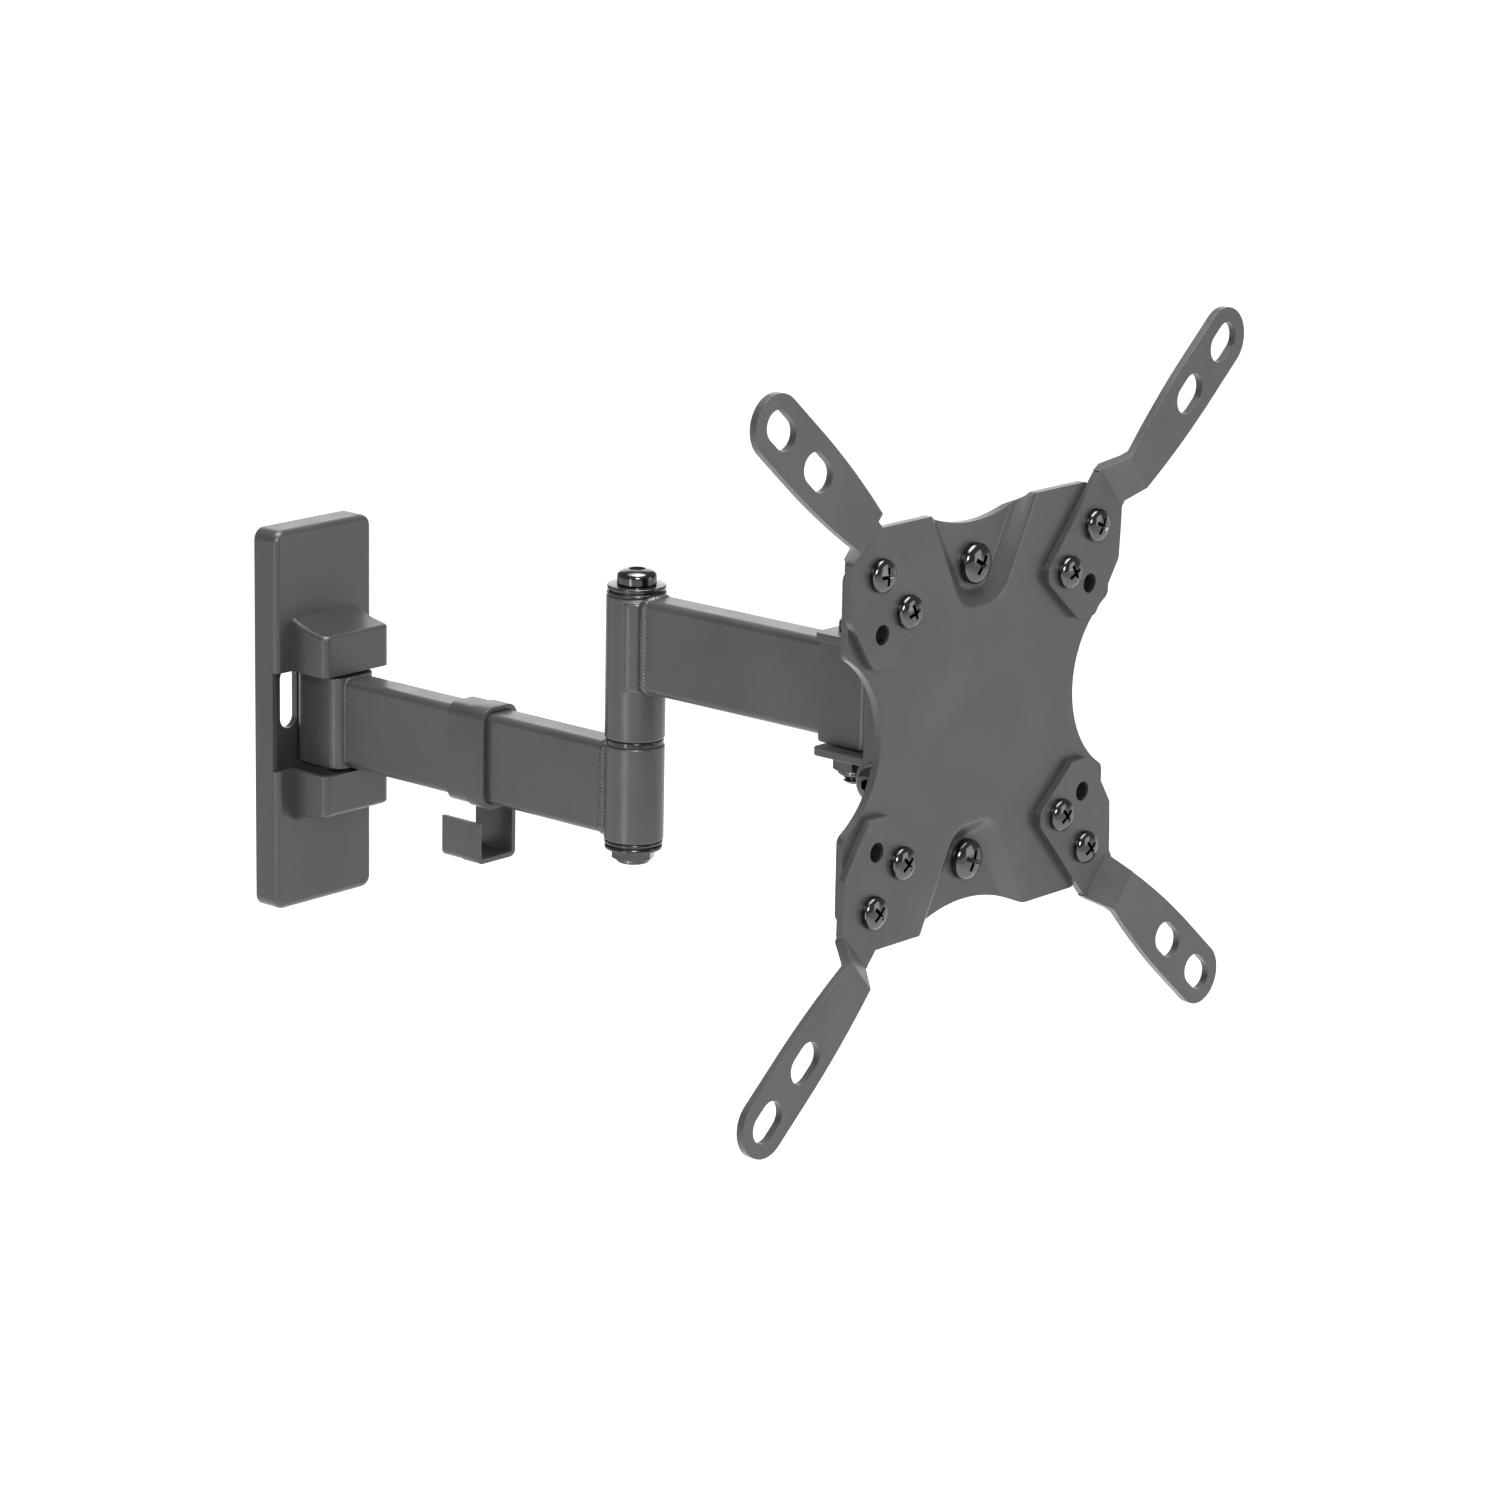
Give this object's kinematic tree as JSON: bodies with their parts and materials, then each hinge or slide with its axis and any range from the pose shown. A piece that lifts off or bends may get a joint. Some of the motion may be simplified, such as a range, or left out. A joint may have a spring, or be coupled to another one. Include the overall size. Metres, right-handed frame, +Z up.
{
  "type": "full motion tv wall mount",
  "caption": "Full-motion wall mount for a flat television: covered wall bracket, two swinging arm sections, swivel and tilt head, and a plate with four slotted adapter arms.",
  "frame": {"origin": "centre of the wall plate's back face, on the wall plane", "axes": "+Z up, +Y into the wall, +X to the right as seen from the room"},
  "size_m": [0.2258, 0.2957, 0.224],
  "materials": {
    "powder_coat": "satin, slightly metallic dark grey powder coat on steel",
    "moulded_plastic": "fine-textured dark grey moulded plastic",
    "nylon_bush": "smooth glossy black nylon",
    "black_nickel": "glossy black nickel plate on steel"
  },
  "bodies": {
    "wall_bracket": {"wall_plate": "powder_coat", "pivot_ear_upper": "powder_coat", "pivot_ear_lower": "powder_coat", "wall_cover": "moulded_plastic", "wall_pivot_bolt": "black_nickel", "wall_pivot_nut": "black_nickel"},
    "inner_arm": {"pivot_block": "powder_coat", "wall_bush_upper": "nylon_bush", "wall_bush_lower": "nylon_bush", "inner_tube": "powder_coat", "inner_sleeve": "powder_coat", "elbow_spacer": "nylon_bush", "elbow_bush_lower": "nylon_bush"},
    "cable_clip": {"cable_clip": "moulded_plastic"},
    "outer_arm": {"outer_sleeve": "powder_coat", "elbow_bush_upper": "nylon_bush", "elbow_bolt": "black_nickel", "elbow_nut": "black_nickel", "outer_tube": "powder_coat", "head_block": "powder_coat", "head_washer_upper": "nylon_bush", "head_washer_lower": "nylon_bush"},
    "swivel_head": {"swivel_yoke": "powder_coat", "swivel_bolt": "black_nickel", "swivel_washer": "black_nickel", "swivel_nut": "black_nickel"},
    "tv_plate": {"tilt_bracket": "powder_coat", "tilt_washer_left": "black_nickel", "tilt_washer_right": "black_nickel", "tilt_bolt": "black_nickel", "tilt_nut": "black_nickel", "vesa_plate": "powder_coat", "adapter_top_left": "powder_coat", "adapter_top_right": "powder_coat", "adapter_bottom_left": "powder_coat", "adapter_bottom_right": "powder_coat", "adapter_screws": "black_nickel", "centre_screws": "black_nickel", "centre_nut_upper": "black_nickel", "centre_nut_lower": "black_nickel"}
  },
  "joints": [
    {"name": "wall_swivel", "type": "hinge", "parent": "wall_bracket", "child": "inner_arm", "pos_m": [0, -0.0145, 0], "axis": [0, 0, 1], "range_deg": [-90, 90]},
    {"name": "clip_slide", "type": "slide", "parent": "inner_arm", "child": "cable_clip", "axis": [0, -1, 0], "range_m": [-0.038, 0.046]},
    {"name": "elbow_swivel", "type": "hinge", "parent": "inner_arm", "child": "outer_arm", "pos_m": [0, -0.1495, 0], "axis": [0, 0, -1], "range_deg": [-130, 130]},
    {"name": "head_swivel", "type": "hinge", "parent": "outer_arm", "child": "swivel_head", "pos_m": [0, -0.24, 0.0485], "axis": [0, 0, 1], "range_deg": [-90, 90]},
    {"name": "head_tilt", "type": "hinge", "parent": "swivel_head", "child": "tv_plate", "pos_m": [0, -0.26, 0.026], "axis": [1, 0, 0], "range_deg": [-15, 15]}
  ]
}
